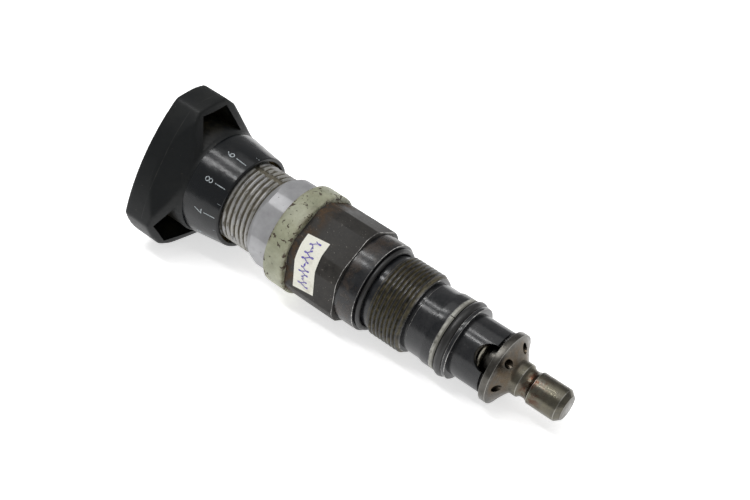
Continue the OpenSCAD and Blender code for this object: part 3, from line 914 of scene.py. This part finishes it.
worn = calc(tree, "MULTIPLY", worn, spread(tree, x, 0.0435, 0.0425))
colour = layer(tree, worn, colour, (0.55, 0.54, 0.52))
shine = spread(tree, mottle, 0.3, 0.75, 0.14, 0.3)
shine = calc(tree, "ADD", shine, calc(tree, "MULTIPLY", on_hexagon, 0.3))
shine = calc(tree, "ADD", shine, calc(tree, "MULTIPLY", calc(tree, "MAXIMUM", rust, thread_dirt), 0.3), True)
bumps = relief(tree, calc(tree, "MULTIPLY", mottle, calc(tree, "ADD", on_hexagon, 0.25)), 0.00006)
bumps = relief(tree, grain(tree, 60, 3, 0.6, stretch=(70, 1, 1)), 0.000006, bumps)
glint = spread(tree, on_hexagon, 0, 1, 0.42, 0.24)
connect(
    tree, shader, Base_Color=colour, Roughness=shine, Metallic=worn, Normal=bumps, Specular_IOR_Level=glint,
)

# %% [markdown]
# Rubber is matt black with a little grease on it. The white back-up rings have oil stains, and the front part
# of the land back-up ring is darkened as painted shade from its groove and the O-ring beside it. Paper is
# warm white with fibres.

# %% Seals, paper and pen
seal_rubber, tree, shader = new_finish("black rubber", Specular_IOR_Level=0.5)
colour = layer(tree, grain(tree, 300, 4), (0.006, 0.006, 0.0065), (0.016, 0.015, 0.014))
connect(
    tree, shader, Base_Color=colour, Roughness=spread(tree, grain(tree, 260, 5), 0.3, 0.7, 0.24, 0.5),
    Normal=relief(tree, grain(tree, 1500, 3), 0.00001),
)

seal_white, tree, shader = new_finish("stained white seal with painted shade")
stain = spread(tree, grain(tree, 320, 6, 0.7), 0.4, 0.68)
# Past x = 28.4 mm the ring is made dark as painted shade from the groove and the O-ring; the noise stain is
# real oil staining.
stains_and_painted_shade = calc(tree, "MAXIMUM", stain, spread(tree, along_axis(tree), 0.0284, 0.0289))
colour = layer(tree, stains_and_painted_shade, (0.38, 0.375, 0.33), (0.09, 0.086, 0.07))
connect(
    tree, shader, Base_Color=colour, Roughness=spread(tree, stain, 0, 1, 0.42, 0.6),
    Normal=relief(tree, grain(tree, 900, 3), 0.00003),
)

paper, tree, shader = new_finish("label paper", Specular_IOR_Level=0.2)
fibres = grain(tree, 1800, 4, 0.7, stretch=(1, 2.5, 1))
colour = layer(tree, spread(tree, fibres, 0.3, 0.7), (0.88, 0.87, 0.78), (0.77, 0.76, 0.675))
soiled = spread(tree, grain(tree, 160, 5, 0.65), 0.56, 0.75, 0, 0.4)
colour = layer(tree, soiled, colour, (0.4, 0.37, 0.28))
connect(
    tree, shader, Base_Color=colour, Roughness=spread(tree, fibres, 0, 1, 0.75, 0.95),
    Normal=relief(tree, fibres, 0.00002),
)

pen_ink, tree, shader = new_finish("violet pen ink", Specular_IOR_Level=0.25)
dry = spread(tree, grain(tree, 900, 5, 0.7), 0.5, 0.66)
colour = layer(tree, dry, (0.13, 0.10, 0.45), (0.42, 0.38, 0.58))
connect(tree, shader, Base_Color=colour, Roughness=spread(tree, dry, 0, 1, 0.6, 0.85))

# %% [markdown]
# The poppet is bare turned steel: fine rings from the tool, a yellow film of old oil on the spool, a
# darker tip, and brown stains on the hub and in and around the groove. Springs, plated screws and brass
# share one small recipe, which takes the two tones of the metal and how rough it is.

# %% Turned steel
bright_steel, tree, shader = new_finish("oil stained turned steel", Metallic=1.0)
x = along_axis(tree)
rings = grain(tree, 50, 3, 0.6, stretch=(110, 1, 1))
clouds = spread(tree, grain(tree, 260, 6, 0.7), 0.3, 0.7)
metal = layer(tree, clouds, (0.125, 0.119, 0.108), (0.055, 0.052, 0.045))
on_stem = spread(tree, x, 0.0505, 0.0535)
oil = spread(tree, grain(tree, 210, 5, 0.65, shift=0.5), 0.36, 0.56, 0.25, 0.95)
varnish = calc(tree, "MULTIPLY", on_stem, oil)
colour = layer(tree, varnish, metal, (0.135, 0.126, 0.095))
near_groove = calc(tree, "MULTIPLY", spread(tree, x, 0.0545, 0.0565), spread(tree, x, 0.0645, 0.0595))
stains = spread(tree, grain(tree, 240, 6, 0.75, shift=1.2), 0.46, 0.56)
colour = layer(tree, calc(tree, "MULTIPLY", near_groove, stains), colour, (0.075, 0.035, 0.022))
hub = calc(tree, "MULTIPLY", spread(tree, x, 0.0482, 0.0487), spread(tree, x, 0.0535, 0.0515))
brown = calc(tree, "MULTIPLY", hub, spread(tree, grain(tree, 300, 5), 0.38, 0.58, 0.2, 0.85))
colour = layer(tree, brown, colour, (0.1, 0.075, 0.05))
on_tip = spread(tree, x, 0.0692, 0.0695)
colour = layer(tree, calc(tree, "MULTIPLY", on_tip, 0.6), colour, (0.045, 0.04, 0.034))
worn = calc(tree, "MULTIPLY", marked(tree, "wear"), 0.35)
colour = layer(tree, worn, colour, (0.5, 0.49, 0.46))
shine = spread(tree, grain(tree, 420, 5, 0.7), 0.3, 0.75, 0.2, 0.42)
connect(tree, shader, Base_Color=colour, Roughness=shine, Normal=relief(tree, rings, 0.000012))


# %% Small metals
def plain_metal(name, light, dark, low, high):
    finish, tree, shader = new_finish(name, Metallic=1.0)
    tone = grain(tree, 300, 5, 0.65)
    colour = layer(tree, spread(tree, tone, 0.35, 0.7), light, dark)
    colour = layer(tree, calc(tree, "MULTIPLY", marked(tree, "wear"), 0.5), colour, light)
    connect(
        tree, shader, Base_Color=colour, Roughness=spread(tree, tone, 0.3, 0.7, low, high),
        Normal=relief(tree, grain(tree, 1600, 3), 0.000006),
    )
    return finish


spring_steel = plain_metal("oily spring wire", (0.8, 0.76, 0.64), (0.42, 0.38, 0.28), 0.2, 0.4)
zinc_steel = plain_metal("zinc plated steel", (0.5, 0.5, 0.49), (0.3, 0.3, 0.29), 0.3, 0.5)
insert_brass = plain_metal("brass", (0.55, 0.42, 0.18), (0.32, 0.22, 0.09), 0.25, 0.45)

# %% Give every piece its finish
for piece, finish in (
    (valve_body, dark_steel), (guide_bush, bush_metal), (lock_ring, ring_paint), (poppet, bright_steel),
    (spring_rear, spring_steel), (spring_front, spring_steel), (knob_head, knob_plastic),
    (dial_sleeve, dial_plastic), (dial_marks, dial_paint), (paper_label, paper), (pen_scribble, pen_ink),
):
    wear_on(piece, finish)
for finish, names in (
    (seal_rubber, ("shoulder_o_ring", "land_o_ring", "bush_seal", "spindle_o_ring")),
    (seal_white, ("land_back_up_ring", "spindle_back_up_ring")),
    (zinc_steel, ("spring_plate", "spindle", "knob_screw", "knob_washer")),
    (insert_brass, ("thread_insert",)),
    (knob_plastic, ("knob_cap",)),
):
    for name in names:
        wear_on(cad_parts[name], finish)

# %% [markdown]
# # Floor, light and camera
# The valve rests on its knob and on its disc, so the floor is tilted by about five degrees in the valve's
# own frame. Two long soft lights hang above it and draw the two bright streaks along the turned parts, and
# a wide one fills in from overhead.

# %% Floor
up = Vector((-0.0839, 0, 0.9965))
under_knob = Vector((-0.0815, 0, -0.0229))
FLOOR_GAP = 0.0004
level = up.to_track_quat("Z", "Y").to_matrix().to_4x4()
floor_mesh = bpy.data.meshes.new("floor")
bm = bmesh.new()
bmesh.ops.create_grid(
    bm, x_segments=1, y_segments=1, size=3.0, matrix=Matrix.Translation(under_knob - up * FLOOR_GAP) @ level
)
bm.to_mesh(floor_mesh)
bm.free()
floor = bpy.data.objects.new("floor", floor_mesh)
bpy.context.scene.collection.objects.link(floor)
floor_finish, tree, shader = new_finish(
    "pale floor", Specular_IOR_Level=0.1, Roughness=0.9, Emission_Color=(1, 1, 1, 1), Emission_Strength=0.6
)
connect(tree, shader, Base_Color=layer(tree, grain(tree, 40, 3), (0.93, 0.93, 0.93), (0.96, 0.96, 0.96)))
wear_on(floor, floor_finish)


# %% Lights
def soft_light(name, direction, far, length, width, power):
    lamp = bpy.data.lights.new(name, "AREA")
    lamp.shape = "RECTANGLE"
    lamp.size, lamp.size_y = length, width
    lamp.energy = power
    light = bpy.data.objects.new(name, lamp)
    bpy.context.scene.collection.objects.link(light)
    away = Vector(direction).normalized()
    side = Vector((1, 0, 0))
    across = away.cross(side).normalized()
    side = across.cross(away).normalized()
    rows = [(side[i], across[i], away[i], away[i] * far) for i in range(3)]
    light.matrix_world = Matrix((*rows, (0, 0, 0, 1)))


soft_light("strip_front", (-0.40, -0.262, 0.878), 1.0, 0.62, 0.07, 2.4)
soft_light("strip_back", (-0.40, 0.054, 0.915), 1.0, 0.62, 0.07, 1.9)
soft_light("overhead", (0.1, 0.2, 1.0), 1.3, 1.4, 1.4, 5)
world = bpy.data.worlds.new("studio")
bpy.context.scene.world = world
world.use_nodes = True
background = world.node_tree.nodes["Background"]
background.inputs["Color"].default_value = (1, 1, 1, 1)
background.inputs["Strength"].default_value = 0.37
bpy.context.scene.view_settings.view_transform = "Standard"

# %% Camera
camera_data = bpy.data.cameras.new("camera")
camera_data.lens = 60
camera_data.sensor_width = 36
camera = bpy.data.objects.new("camera", camera_data)
bpy.context.scene.collection.objects.link(camera)
camera.matrix_world = Matrix((
    (0.77221, -0.49312, 0.40065, 0.149713), (0.62705, 0.48981, -0.60572, -0.233966),
    (0.10245, 0.71897, 0.68745, 0.278830), (0, 0, 0, 1),
))
bpy.context.scene.camera = camera
